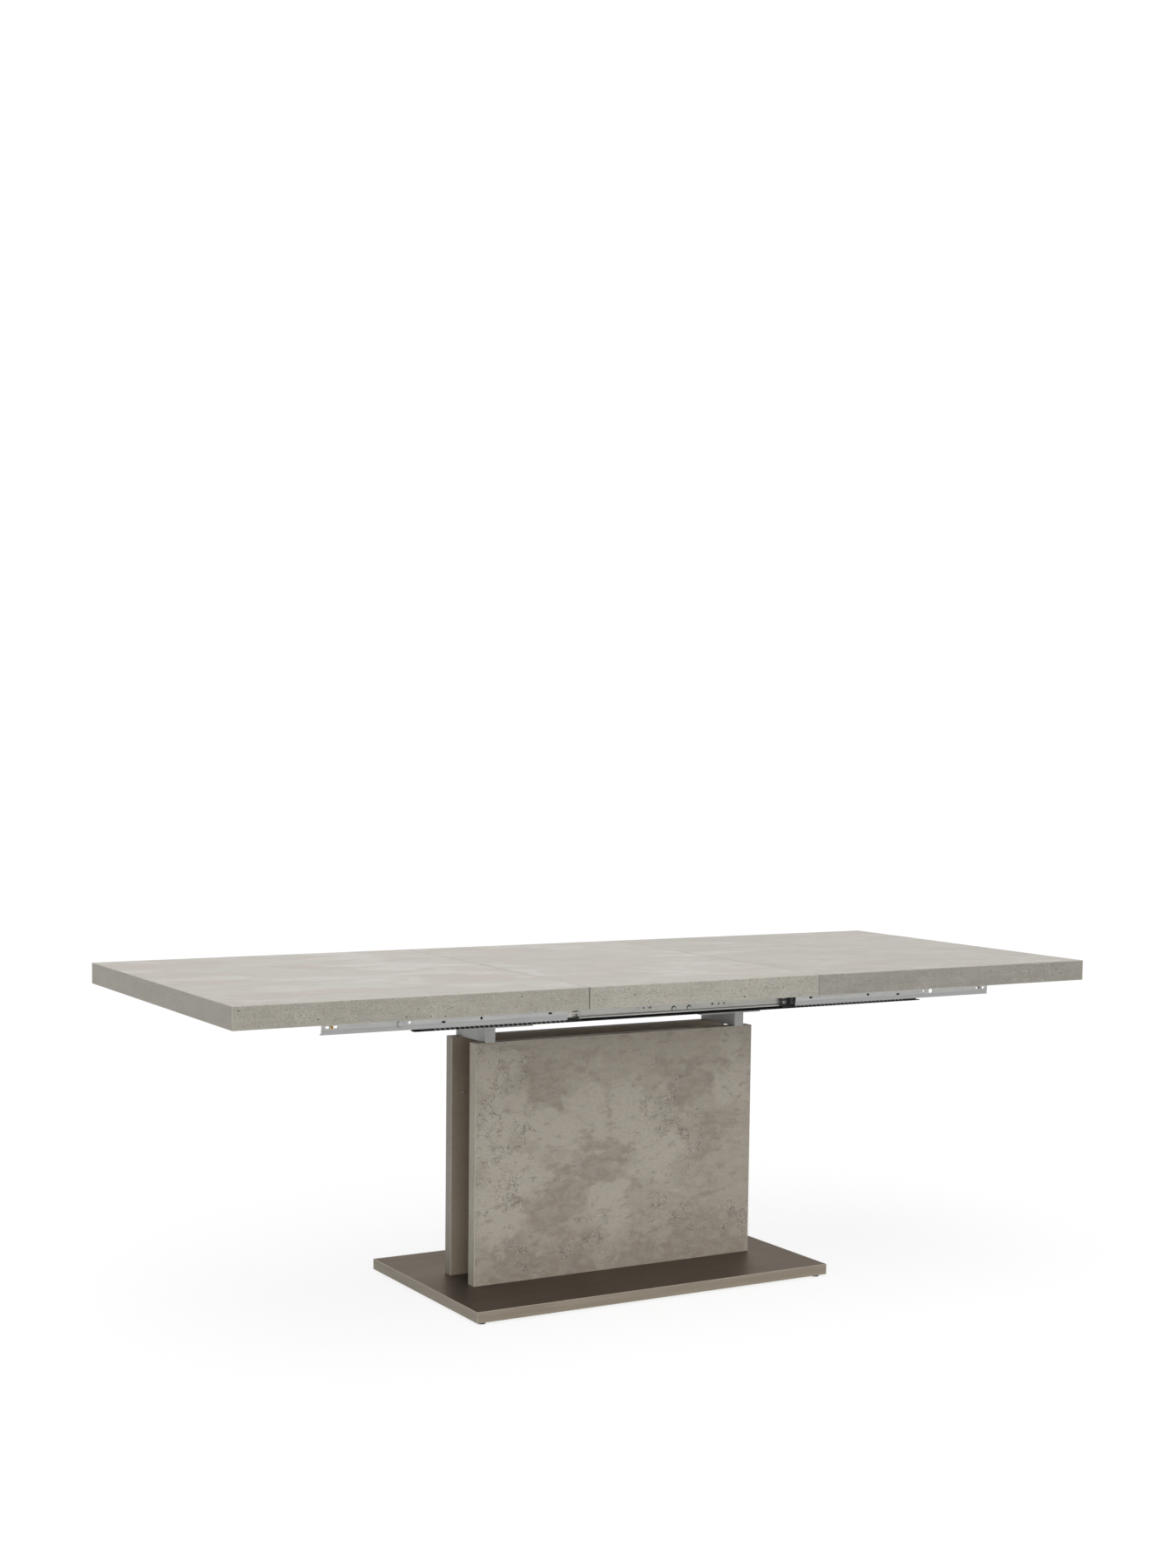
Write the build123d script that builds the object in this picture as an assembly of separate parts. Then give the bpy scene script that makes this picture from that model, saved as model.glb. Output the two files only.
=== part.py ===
from build123d import *
import os

# Extendable pedestal dining table, pulled out, with its loose leaf in place.
# Millimetres. The origin is on the floor under the middle of the top.
# +X runs along the length of the top, +Y to the rear long side, +Z up.

# Boards of the top
half_length = 800.0
leaf_length = 600.0
table_depth = 900.0
top_thickness = 48.0
seam_gap = 1.4
leaf_shift = 0.4
edge_band = 2.0
edge_round = 0.8

# Base plate and its glides
base_length = 942.0
base_depth = 546.0
base_thickness = 25.0
glide_height = 6.0
glide_diameter = 20.0
glide_inset = 20.0
glide_pin_diameter = 4.0
glide_pin_length = 10.0

# Column of two upright panels
panel_length = 756.0
panel_height = 560.0
panel_thickness = 29.0
column_depth = 148.0
panel_edge_round = 1.0
spacer_thickness = 18.0
spacer_drop = 60.0
spacer_inset = 155.0
bracket_gap = 10.0
bracket_length = 60.0
bracket_sheet = 3.0
bracket_offset = 130.0
bracket_screw_pitch = 36.0
panel_fitting_inset = 31.0
panel_fitting_drop = 131.0

# Crossbars, carrier plates, risers and struts
crossbar_width = 25.0
crossbar_height = 32.0
crossbar_wall = 2.0
crossbar_inset = 25.0
crossbar_corner = 1.5
carrier_length = 172.0
carrier_thickness = 5.0
carrier_setback = 24.5
riser_bolt_gap = 3.0
riser_height = 40.8
riser_wall = 3.0
strut_width = 60.0
strut_top_gap = 4.2
strut_wall = 2.0
strut_end_plate = 3.0
centre_strut_height = 24.0

# Slide: a fixed rail that opens outwards, a runner inside it, balls between
runner_inset = 91.0
runner_length = 573.0
runner_seam_setback = 2.0
runner_drop = 33.0
runner_sheet = 1.8
runner_flange = 24.0
runner_race = 10.0
runner_crease_drop = 21.6
runner_crease_depth = 1.2
rail_overlap = 365.0
rail_sheet = 1.5
rail_top_gap = 1.6
rail_lip_setback = 1.0
slide_depth = 16.0
bead_height = 6.0
bead_depth = 2.2
bead_lift = 1.2
ball_diameter = 3.1
ball_clearance = 0.3
ball_pitch = 11.5
cage_sheet = 1.5
cage_inner_end = 35.0
cage_post = 4.0
cage_block = 13.0
cage_bar_height = 3.2
cage_frame_depth = 3.0
cage_tail = 20.0
running_clearance = 1.2
end_travel = 20.0
rail_stop_length = 5.0

# Holes and slots in the runner face, from its inner end, and in the fixed rail, from its middle
runner_hole_places = (209.0, 376.0)
runner_hole_diameter = 6.0
runner_disc_place = 397.0
runner_disc_drop = 19.5
runner_disc_diameter = 15.0
runner_disc_rise = 1.6
runner_wide_hole_diameter = 12.0
runner_slot_places = (43.0, 298.0)
runner_slot_drops = (16.0, 20.5)
runner_slot_length = 9.0
runner_slot_height = 4.0
runner_hole_drop = 17.3
end_slot_inset = 22.0
end_slot_length = 27.0
end_slot_height = 5.0
spare_slot_place = 83.0
spare_slot_length = 6.0
spare_hole_places = (99.5, 115.0)
spare_hole_diameter = 2.8
spare_hole_drop = 19.0

# Fasteners and fits
hole_clearance = 0.3
wood_screw_diameter = 4.0
wood_screw_length = 16.0
wood_screw_head = 8.0
wood_screw_head_height = 2.2
head_round = 0.8
recess_length = 4.4
recess_width = 1.3
recess_depth = 1.2
runner_screw_count = 5
runner_screw_end = 30.0
rail_screw_diameter = 5.0
rail_screw_length = 12.0
rail_screw_head = 8.6
rail_screw_head_height = 1.8
rail_screw_pitch = 41.0
stop_screw_length = 9.0
stop_nut_width = 7.0
stop_nut_thickness = 3.5
bolt_diameter = 8.0
bolt_length = 70.0
bolt_head = 13.0
bolt_head_height = 8.0
insert_diameter = 12.0
insert_length = 25.0
bolt_hole_spare = 5.0

# Felt pads and pegs of the leaf
pad_diameter = 12.0
pad_spread = 200.0
peg_diameter = 8.0
peg_sink = 15.0
peg_grip = 7.0
peg_offset = 200.0
peg_clearance = 0.5

# Heights, from the floor up
base_top = glide_height + base_thickness
panel_top = base_top + panel_height
crossbar_top = panel_top + crossbar_height
carrier_top = crossbar_top + carrier_thickness
strut_bottom = carrier_top + riser_height
ball_gap = ball_diameter + 2 * ball_clearance
rail_drop = runner_drop + ball_gap + rail_sheet
bead_bottom = rail_drop - rail_sheet - bead_lift
bead_top = bead_bottom - bead_height
rail_screw_drop = bead_top - rail_screw_head / 2 - hole_clearance
underside = strut_bottom + rail_drop
top_face = underside + top_thickness

# Places along the length and across the depth
half_end = leaf_length / 2 + half_length
half_seam = leaf_length / 2 + seam_gap / 2
leaf_seam = leaf_length / 2 - seam_gap / 2
edge_y = table_depth / 2
panel_outer = column_depth / 2
panel_inner = panel_outer - panel_thickness
panel_middle = panel_outer - panel_thickness / 2
panel_x = panel_length / 2
crossbar_offset = panel_x - crossbar_inset - crossbar_width / 2
carrier_offset = crossbar_offset - carrier_setback
riser_end = panel_middle - bolt_head / 2 - riser_bolt_gap
bracket_leg = panel_inner - bracket_gap / 2
runner_face = edge_y - runner_inset
runner_back = runner_face - runner_sheet
race_tip = runner_face - runner_race
rail_face = runner_face - slide_depth
rail_back = rail_face - rail_sheet
runner_inner = leaf_length / 2 + runner_seam_setback
runner_outer = runner_inner + runner_length
cage_inner = runner_inner - cage_inner_end
rail_end = runner_inner + rail_overlap
cage_outer = rail_end - rail_stop_length - end_travel / 2 - ball_clearance
ball_count = int((cage_outer - cage_tail - runner_inner) / ball_pitch)
ball_start = runner_inner + (ball_pitch - cage_sheet) / 2
ball_row = [ball_start + i * ball_pitch for i in range(ball_count)]
end_slot_place = runner_outer - end_slot_inset
ball_y = (race_tip + runner_back) / 2
cage_back = (rail_face + bead_depth + race_tip) / 2
cage_tip = runner_back - running_clearance
lower_ball_drop = runner_drop + ball_gap / 2
upper_race_drop = rail_top_gap + rail_sheet + ball_gap
upper_ball_drop = upper_race_drop - ball_gap / 2
centre_strut_top = underside - rail_screw_drop + centre_strut_height / 2


def block(x0, x1, y0, y1, z0, z1):
    size = Box(x1 - x0, y1 - y0, z1 - z0)
    return Pos((x0 + x1) / 2, (y0 + y1) / 2, (z0 + z1) / 2) * size


def upright(x, y, z0, z1, diameter):
    return Pos(x, y, (z0 + z1) / 2) * Cylinder(diameter / 2, z1 - z0)


def level(x, z, y0, y1, diameter):
    return Pos(x, (y0 + y1) / 2, z) * Rot(90, 0, 0) * Cylinder(diameter / 2, y1 - y0)


def slot(x, z, y0, y1, length, height):
    """A cut with rounded ends through a face that lies across y."""
    cut = block(x - length / 2, x + length / 2, y0, y1, z - height / 2, z + height / 2)
    return fillet(cut.edges().filter_by(Axis.Y), height / 2 - hole_clearance)


def to_left(shape):
    return mirror(shape, about=Plane.YZ)


def to_front(shape):
    return mirror(shape, about=Plane.XZ)


def front_and_rear(shape):
    return [shape, to_front(shape)]


def as_is(shape):
    return shape


def four_ways(shape):
    return [copy for side in front_and_rear(shape) for copy in (side, to_left(side))]


def along_rail(points, x0, x1):
    """Extrude a rear slide section, given as (y, drop below the top), from x0 to x1."""
    with BuildPart() as bar:
        with BuildSketch(Plane.YZ.offset(x0)):
            with BuildLine():
                Polyline(*[(y, underside - drop) for y, drop in points], close=True)
            make_face()
        extrude(amount=x1 - x0)
    return bar.part


def board_with_bands(x0, x1, depth, z0, z1, rounding):
    """A board between x0 and x1, with bands on all four edges: end bands run the full depth."""
    y = depth / 2
    core = block(x0 + edge_band, x1 - edge_band, edge_band - y, y - edge_band, z0, z1)
    left = block(x0, x0 + edge_band, -y, y, z0, z1)
    right = block(x1 - edge_band, x1, -y, y, z0, z1)
    rear = block(x0 + edge_band, x1 - edge_band, y - edge_band, y, z0, z1)
    left = fillet(left.edges().group_by(Axis.X)[0], rounding)
    right = fillet(right.edges().group_by(Axis.X)[-1], rounding)
    rear = fillet(rear.edges().group_by(Axis.Y)[-1].filter_by(Axis.X), rounding)
    return core, [left, right, rear, to_front(rear)]


def pan_screw(diameter, length, head, head_height):
    """A pan head screw along +Z with a cross recess, the seat of its head at the origin."""
    screw = upright(0, 0, -head_height, 0, head)
    screw = fillet(screw.edges().group_by(Axis.Z)[0], head_round)
    for turn in (0, 90):
        arm = Box(recess_length, recess_width, recess_depth)
        screw -= Rot(0, 0, turn) * Pos(0, 0, recess_depth / 2 - head_height) * arm
    return screw + upright(0, 0, 0, length, diameter)


wood_screw = pan_screw(wood_screw_diameter, wood_screw_length, wood_screw_head, wood_screw_head_height)
stop_fastener = pan_screw(wood_screw_diameter, stop_screw_length, wood_screw_head, wood_screw_head_height)
rail_fastener = pan_screw(rail_screw_diameter, rail_screw_length, rail_screw_head, rail_screw_head_height)
driven_down = Rot(180, 0, 0)
driven_to_rear = Rot(-90, 0, 0)
driven_to_front = Rot(90, 0, 0)
wood_hole = wood_screw_diameter + 2 * hole_clearance
bolt_hole = bolt_diameter + 2 * hole_clearance
sides = (("right", as_is), ("left", to_left))
nodes = {}


# Base plate on four glides

base_plate, base_bands = board_with_bands(
    -base_length / 2, base_length / 2, base_depth, glide_height, base_top, edge_round)
glide_x = base_length / 2 - glide_inset
glide_y = base_depth / 2 - glide_inset
glide = upright(glide_x, glide_y, 0, glide_height, glide_diameter)
glide = fillet(glide.edges().group_by(Axis.Z)[0], edge_round)
glide_pin_top = glide_height + glide_pin_length
glide += upright(glide_x, glide_y, glide_height, glide_pin_top, glide_pin_diameter)
glide_hole = upright(
    glide_x, glide_y, glide_height, glide_pin_top + hole_clearance, glide_pin_diameter + 2 * hole_clearance)
for hole in four_ways(glide_hole):
    base_plate -= hole

# Angle brackets hold the panels to the base plate, inside the gap

bracket_x0 = bracket_offset - bracket_length / 2
bracket_x1 = bracket_offset + bracket_length / 2
bracket = block(
    bracket_x0, bracket_x1, panel_inner - bracket_leg, panel_inner, base_top, base_top + bracket_sheet)
bracket += block(
    bracket_x0, bracket_x1, panel_inner - bracket_sheet, panel_inner, base_top, base_top + bracket_leg)
bracket_screw_y = panel_inner - (bracket_leg + bracket_sheet) / 2
bracket_screw_z = base_top + (bracket_leg + bracket_sheet) / 2
bracket_screws = []
panel_holes = []
for step in (-0.5, 0.5):
    x = bracket_offset + step * bracket_screw_pitch
    seat = base_top + bracket_sheet
    tip = seat - wood_screw_length
    bracket_screws += four_ways(Pos(x, bracket_screw_y, seat) * driven_down * wood_screw)
    hole = upright(x, bracket_screw_y, tip - hole_clearance, seat, wood_hole)
    bracket -= hole
    for copy in four_ways(hole):
        base_plate -= copy
    seat = panel_inner - bracket_sheet
    tip = seat + wood_screw_length
    bracket_screws += four_ways(Pos(x, seat, bracket_screw_z) * driven_to_rear * wood_screw)
    hole = level(x, bracket_screw_z, seat, tip + hole_clearance, wood_hole)
    bracket -= hole
    panel_holes += [hole, to_left(hole)]

nodes["base_plate"] = base_plate
nodes["base_plate_bands"] = base_bands
nodes["foot_glides"] = four_ways(glide)
nodes["column_brackets"] = four_ways(bracket)
nodes["bracket_screws"] = bracket_screws

# Two column panels with banded ends, kept apart by spacer boards

panel = block(edge_band - panel_x, panel_x - edge_band, panel_inner, panel_outer, base_top, panel_top)
band = block(panel_x - edge_band, panel_x, panel_inner, panel_outer, base_top, panel_top)
band = fillet(band.edges().group_by(Axis.X)[-1].filter_by(Axis.Z), panel_edge_round)
bolt_tip = carrier_top - bolt_length
insert_bottom = panel_top - insert_length
insert = upright(crossbar_offset, panel_middle, insert_bottom, panel_top, insert_diameter)
insert -= upright(crossbar_offset, panel_middle, insert_bottom, panel_top, bolt_hole)
insert_hole = upright(
    crossbar_offset, panel_middle, insert_bottom, panel_top, insert_diameter + 2 * hole_clearance)
insert_hole += upright(
    crossbar_offset, panel_middle, bolt_tip - bolt_hole_spare, panel_top, bolt_hole)
panel_holes += [insert_hole, to_left(insert_hole)]
fitting_x = panel_x - panel_fitting_inset
fitting_z = panel_top - panel_fitting_drop
fitting = Pos(fitting_x, panel_inner, fitting_z) * driven_to_rear * wood_screw
fitting_hole = level(
    fitting_x, fitting_z, panel_inner, panel_inner + wood_screw_length + hole_clearance, wood_hole)
panel_holes += [fitting_hole, to_left(fitting_hole)]
for hole in panel_holes:
    panel -= hole
spacer_x0 = panel_x - spacer_inset - spacer_thickness / 2
spacer = block(
    spacer_x0, spacer_x0 + spacer_thickness, -panel_inner, panel_inner, base_top, panel_top - spacer_drop)

nodes["rear_column_panel"] = panel
nodes["front_column_panel"] = to_front(panel)
nodes["rear_panel_bands"] = [band, to_left(band)]
nodes["front_panel_bands"] = [to_front(band), to_front(to_left(band))]
nodes["column_spacers"] = [spacer, to_left(spacer)]
nodes["panel_fittings"] = four_ways(fitting)
nodes["panel_inserts"] = four_ways(insert)

# Crossbars over the panels, with carrier plates bolted through them

bar_x0 = crossbar_offset - crossbar_width / 2
bar_x1 = crossbar_offset + crossbar_width / 2
bar_end = panel_outer - crossbar_wall
crossbar = block(bar_x0, bar_x1, -bar_end, bar_end, panel_top, crossbar_top)
crossbar = fillet(crossbar.edges().filter_by(Axis.Y), crossbar_corner)
crossbar -= block(
    bar_x0 + crossbar_wall, bar_x1 - crossbar_wall, -bar_end, bar_end,
    panel_top + crossbar_wall, crossbar_top - crossbar_wall)
bar_cap = block(bar_x0, bar_x1, bar_end, panel_outer, panel_top, crossbar_top)
bar_cap = fillet(bar_cap.edges().filter_by(Axis.Y), crossbar_corner)
carrier = block(
    carrier_offset - carrier_length / 2, carrier_offset + carrier_length / 2,
    -panel_outer, panel_outer, crossbar_top, carrier_top)
bolt_seat = Pos(crossbar_offset, panel_middle, carrier_top)
hexagon = bolt_seat * RegularPolygon(bolt_head / 2, 6, major_radius=False)
bolt = extrude(hexagon, amount=bolt_head_height)
bolt += upright(crossbar_offset, panel_middle, bolt_tip, carrier_top, bolt_diameter)
for hole in front_and_rear(upright(crossbar_offset, panel_middle, panel_top, carrier_top, bolt_hole)):
    crossbar -= hole
    carrier -= hole
riser_x0 = carrier_offset - strut_width / 2
riser_x1 = carrier_offset + strut_width / 2
riser = block(riser_x0, riser_x1, -riser_end, riser_end, carrier_top, strut_bottom)
riser -= block(
    riser_x0 + riser_wall, riser_x1 - riser_wall, riser_wall - riser_end, riser_end - riser_wall,
    carrier_top, strut_bottom)

for side, place in sides:
    nodes[side + "_crossbar"] = place(crossbar)
    nodes[side + "_carrier_plate"] = place(carrier)
    nodes[side + "_riser"] = place(riser)
nodes["crossbar_caps"] = four_ways(bar_cap)
nodes["carrier_bolts"] = four_ways(bolt)

# Cross struts tie the two fixed rails, each closed by an end plate that takes the rail screws

strut_end = rail_back - strut_end_plate


def strut_parts(x, z0, z1):
    """A strut tube across the table at x, and its rear end plate with two screw holes."""
    x0 = x - strut_width / 2
    x1 = x + strut_width / 2
    tube = block(x0, x1, -strut_end, strut_end, z0, z1)
    tube -= block(
        x0 + strut_wall, x1 - strut_wall, -strut_end, strut_end, z0 + strut_wall, z1 - strut_wall)
    plate = block(x0, x1, strut_end, rail_back, z0, z1)
    return tube, plate


rail_screw_z = underside - rail_screw_drop
rail_hole = rail_screw_diameter + 2 * hole_clearance
side_strut, side_plate = strut_parts(carrier_offset, strut_bottom, underside - strut_top_gap)
centre_strut, centre_plate = strut_parts(0, centre_strut_top - centre_strut_height, centre_strut_top)
peg_hole = upright(
    0, peg_offset, centre_strut_top - strut_wall, centre_strut_top, peg_diameter + 2 * peg_clearance)
for hole in front_and_rear(peg_hole):
    centre_strut -= hole
rail_screws = []
rail_screw_holes = []
for strut_x in (-carrier_offset, 0, carrier_offset):
    for step in (-0.5, 0.5):
        x = strut_x + step * rail_screw_pitch
        rail_screws += front_and_rear(Pos(x, rail_face, rail_screw_z) * driven_to_front * rail_fastener)
        rail_screw_holes.append(level(x, rail_screw_z, strut_end, rail_face, rail_hole))
for hole in rail_screw_holes:
    side_plate -= hole
    centre_plate -= hole

nodes["right_cross_strut"] = side_strut
nodes["left_cross_strut"] = to_left(side_strut)
nodes["centre_strut"] = centre_strut
nodes["strut_end_plates"] = four_ways(side_plate) + front_and_rear(centre_plate)
nodes["rail_screws"] = rail_screws

# Fixed rails: channels that open outwards, with a rolled bead above the lower lip

rail_lip = runner_face - rail_lip_setback
upper_lip = rail_top_gap + rail_sheet
rail = along_rail(
    [
        (rail_back, rail_top_gap), (cage_tip, rail_top_gap), (cage_tip, upper_lip),
        (rail_face, upper_lip), (rail_face, rail_drop - rail_sheet),
        (rail_lip, rail_drop - rail_sheet), (rail_lip, rail_drop), (rail_back, rail_drop),
    ],
    -rail_end, rail_end)
with BuildPart() as bead:
    with BuildSketch(Plane.YZ.offset(-rail_end)):
        with BuildLine():
            ThreePointArc(
                (rail_face, underside - bead_bottom),
                (rail_face + bead_depth, underside - (bead_bottom + bead_top) / 2),
                (rail_face, underside - bead_top))
            Line((rail_face, underside - bead_top), (rail_face, underside - bead_bottom))
        make_face()
    extrude(amount=2 * rail_end)
rail += bead.part
for hole in rail_screw_holes:
    rail -= hole
spare_z = underside - spare_hole_drop
spare_holes = [level(x, spare_z, rail_back, rail_face, spare_hole_diameter) for x in spare_hole_places]
spare_holes.append(
    slot(spare_slot_place, spare_z, rail_back, rail_face, spare_slot_length, spare_hole_diameter))
for spare in spare_holes:
    rail -= spare
    rail -= to_left(spare)
stop_top = bead_top - ball_clearance
rail_stop = block(
    rail_end - rail_stop_length, rail_end, rail_face, cage_back + cage_sheet / 2,
    underside - stop_top, underside - upper_lip)

nodes["rear_fixed_rail"] = rail
nodes["front_fixed_rail"] = to_front(rail)
nodes["rail_stops"] = four_ways(rail_stop)

# Runners: screwed up into the top by an outer flange, with two races turned inwards. The left ones
# carry a pressed disc where the right ones have an open hole.

crease_end = runner_crease_drop + 2 * runner_crease_depth
runner = along_rail(
    [
        (runner_back, 0), (runner_face + runner_flange, 0),
        (runner_face + runner_flange, runner_sheet), (runner_face, runner_sheet),
        (runner_face, runner_crease_drop), (runner_face - runner_crease_depth, crease_end),
        (runner_face - runner_crease_depth, runner_drop), (race_tip, runner_drop),
        (race_tip, runner_drop - runner_sheet),
        (runner_back - runner_crease_depth, runner_drop - runner_sheet),
        (runner_back - runner_crease_depth, crease_end), (runner_back, runner_crease_drop),
        (runner_back, upper_race_drop + runner_sheet), (race_tip, upper_race_drop + runner_sheet),
        (race_tip, upper_race_drop), (runner_back, upper_race_drop),
    ],
    runner_inner, runner_outer)
web_in = runner_back - runner_crease_depth
hole_z = underside - runner_hole_drop
runner_holes = [
    level(runner_inner + place, hole_z, web_in, runner_face, runner_hole_diameter)
    for place in runner_hole_places]
for place, drop in zip(runner_slot_places, runner_slot_drops):
    x, z = runner_inner + place, underside - drop
    runner_holes.append(slot(x, z, web_in, runner_face, runner_slot_length, runner_slot_height))
runner_holes.append(
    slot(end_slot_place, hole_z, web_in, runner_face, end_slot_length, end_slot_height))
flange_y = runner_face + runner_flange / 2
screw_span = runner_length - 2 * runner_screw_end
screw_xs = [
    runner_inner + runner_screw_end + i * screw_span / (runner_screw_count - 1)
    for i in range(runner_screw_count)]
screw_seat = underside - runner_sheet
runner_screws = [Pos(x, flange_y, screw_seat) * wood_screw for x in screw_xs]
screw_holes = [
    upright(x, flange_y, screw_seat, screw_seat + wood_screw_length + hole_clearance, wood_hole)
    for x in screw_xs]
for hole in runner_holes + screw_holes:
    runner -= hole
disc_x = runner_inner + runner_disc_place
disc = level(
    disc_x, underside - runner_disc_drop, runner_face - runner_crease_depth,
    runner_face + runner_disc_rise, runner_disc_diameter)
disc = fillet(disc.edges().group_by(Axis.Y)[-1], runner_disc_rise / 2)
open_runner = runner - level(disc_x, hole_z, web_in, runner_face, runner_wide_hole_diameter)
disc_runner = runner + disc
stop_screw = Pos(end_slot_place, runner_face, hole_z) * driven_to_front * stop_fastener
stop_nut = block(
    end_slot_place - stop_nut_width / 2, end_slot_place + stop_nut_width / 2,
    runner_back - stop_nut_thickness, runner_back,
    hole_z - stop_nut_width / 2, hole_z + stop_nut_width / 2)
stop_nut -= level(end_slot_place, hole_z, runner_back - stop_nut_thickness, runner_back, wood_hole)

# The two halves of the top, carried on their runners

half, half_bands = board_with_bands(
    half_seam, half_end, table_depth, underside, top_face, edge_round)
for hole in screw_holes:
    half -= hole
    half -= to_front(hole)

side_runners = {"right": open_runner, "left": disc_runner}
for side, place in sides:
    nodes[side + "_top"] = place(half)
    nodes[side + "_top_bands"] = [place(band) for band in half_bands]
    nodes[side + "_rear_runner"] = place(side_runners[side])
    nodes[side + "_front_runner"] = place(to_front(side_runners[side]))
    nodes[side + "_runner_screws"] = [
        place(copy) for screw in runner_screws for copy in front_and_rear(screw)]
    nodes[side + "_cage_stop_screws"] = [place(copy) for copy in front_and_rear(stop_screw)]
    nodes[side + "_cage_stop_nuts"] = [place(copy) for copy in front_and_rear(stop_nut)]

# Ball cages: two ledges with a row of ball notches each, on a back strip, with an open frame at the
# inner end

ledge = cage_sheet / 2
back_in = cage_back - ledge
back_out = cage_back + ledge
cage = along_rail(
    [
        (back_in, upper_ball_drop - ledge), (cage_tip, upper_ball_drop - ledge),
        (cage_tip, upper_ball_drop + ledge), (back_out, upper_ball_drop + ledge),
        (back_out, lower_ball_drop - ledge), (cage_tip, lower_ball_drop - ledge),
        (cage_tip, lower_ball_drop + ledge), (back_in, lower_ball_drop + ledge),
    ],
    cage_inner, cage_outer)
frame_z0 = underside - runner_drop + runner_sheet + running_clearance
frame_z1 = underside - upper_race_drop - runner_sheet - running_clearance
frame_y = web_in - running_clearance
frame_middle = (frame_z0 + frame_z1) / 2
cage_step = runner_inner - cage_block
bar_y = back_out + cage_frame_depth
cage += block(cage_inner, cage_inner + cage_post, back_out, bar_y, frame_z0, frame_z1)
cage += block(cage_step, runner_inner, back_out, frame_y, frame_z0, frame_z1)
cage += block(
    cage_inner, cage_step, back_out, bar_y,
    frame_middle - cage_bar_height / 2, frame_middle + cage_bar_height / 2)
cage_window = cage_inner + cage_post
for z0, z1 in (
        (frame_z0, frame_middle - cage_bar_height / 2),
        (frame_middle + cage_bar_height / 2, frame_z1)):
    cage -= block(cage_window, cage_step, back_in, back_out, z0, z1)
balls = []
for x in ball_row:
    for drop in (lower_ball_drop, upper_ball_drop):
        z = underside - drop
        balls.append(Pos(x, ball_y, z) * Sphere(ball_diameter / 2))
        cage -= upright(x, ball_y, z - ledge, z + ledge, ball_gap)
        cage -= block(x - ball_gap / 2, x + ball_gap / 2, ball_y, cage_tip, z - ledge, z + ledge)

for side, place in sides:
    nodes[side + "_rear_cage"] = place(cage)
    nodes[side + "_front_cage"] = place(to_front(cage))
    nodes[side + "_balls"] = [place(copy) for ball in balls for copy in front_and_rear(ball)]

# The loose leaf rests on felt pads on the fixed rails, and two pegs locate it in the centre strut.
# Pushed over as far as the pegs allow, it leaves a wider seam on the left.

leaf, leaf_bands = board_with_bands(
    leaf_shift - leaf_seam, leaf_shift + leaf_seam, table_depth, underside, top_face, edge_round)
pad_y = (rail_back + cage_tip) / 2
pads = [
    upright(x, pad_y, underside - rail_top_gap, underside, pad_diameter)
    for x in (leaf_shift - pad_spread, leaf_shift, leaf_shift + pad_spread)]
peg = upright(leaf_shift, peg_offset, centre_strut_top - peg_grip, underside + peg_sink, peg_diameter)
peg = chamfer(peg.edges().group_by(Axis.Z)[0], edge_round)
peg_socket = upright(
    leaf_shift, peg_offset, underside, underside + peg_sink, peg_diameter + 2 * hole_clearance)
for hole in front_and_rear(peg_socket):
    leaf -= hole

nodes["leaf"] = leaf
nodes["leaf_bands"] = leaf_bands
nodes["leaf_pads"] = [copy for pad in pads for copy in front_and_rear(pad)]
nodes["leaf_pegs"] = front_and_rear(peg)

os.makedirs("parts", exist_ok=True)
for name, shape in nodes.items():
    whole = Compound(shape) if isinstance(shape, list) else shape
    export_step(whole, "parts/" + name + ".step")
print("top at", round(top_face, 1), "nodes", len(nodes))
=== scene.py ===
from math import pi, radians

import bmesh
import bpy
from mathutils import Matrix, Vector


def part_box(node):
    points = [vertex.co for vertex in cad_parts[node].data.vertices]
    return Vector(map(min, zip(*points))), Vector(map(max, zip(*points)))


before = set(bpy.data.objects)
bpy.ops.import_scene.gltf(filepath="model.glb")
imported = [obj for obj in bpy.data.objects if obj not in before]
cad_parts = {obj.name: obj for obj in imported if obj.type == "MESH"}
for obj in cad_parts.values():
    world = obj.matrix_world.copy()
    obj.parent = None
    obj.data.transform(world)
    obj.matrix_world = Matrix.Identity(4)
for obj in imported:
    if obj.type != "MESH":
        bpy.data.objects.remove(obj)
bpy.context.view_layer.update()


# Base plate: a board faced with a dark bronze metal laminate, smooth and satin, with a fine fleck in
# the film and a faint drift of tone along its length. It lies on the glides and carries the column.

def add(tree, kind, inputs, **settings):
    """Add a shader node. Each input is a plain value or the output of another node."""
    made = tree.nodes.new("ShaderNode" + kind)
    for name, value in settings.items():
        setattr(made, name, value)
    for socket, value in inputs.items():
        if isinstance(value, bpy.types.NodeSocket):
            tree.links.new(value, made.inputs[socket])
        else:
            made.inputs[socket].default_value = value
    return made


def calc(tree, operation, first, second=0.0):
    """One value worked out from one or two others."""
    return add(tree, "Math", {0: first, 1: second}, operation=operation).outputs[0]


def part_of(tree, mask, share):
    """A mask held down to a share of its strength."""
    return calc(tree, "MULTIPLY", mask, share)


def ramp(tree, value, low, high):
    """0 up to low, 1 from high on, smooth between; low may be the larger one."""
    limits = {"Value": value, "From Min": low, "From Max": high}
    return add(tree, "MapRange", limits, interpolation_type="SMOOTHSTEP").outputs["Result"]


def span(tree, mask, low, high):
    """A mask from 0 to 1 as values from low to high."""
    return add(tree, "MapRange", {"Value": mask, "To Min": low, "To Max": high}).outputs["Result"]


def mix(tree, mask, first, second):
    """The first colour where the mask is 0, the second where it is 1."""
    pair = [c if isinstance(c, bpy.types.NodeSocket) else (*c, 1.0) for c in (first, second)]
    return add(tree, "Mix", {0: mask, 6: pair[0], 7: pair[1]}, data_type="RGBA").outputs[2]


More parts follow.
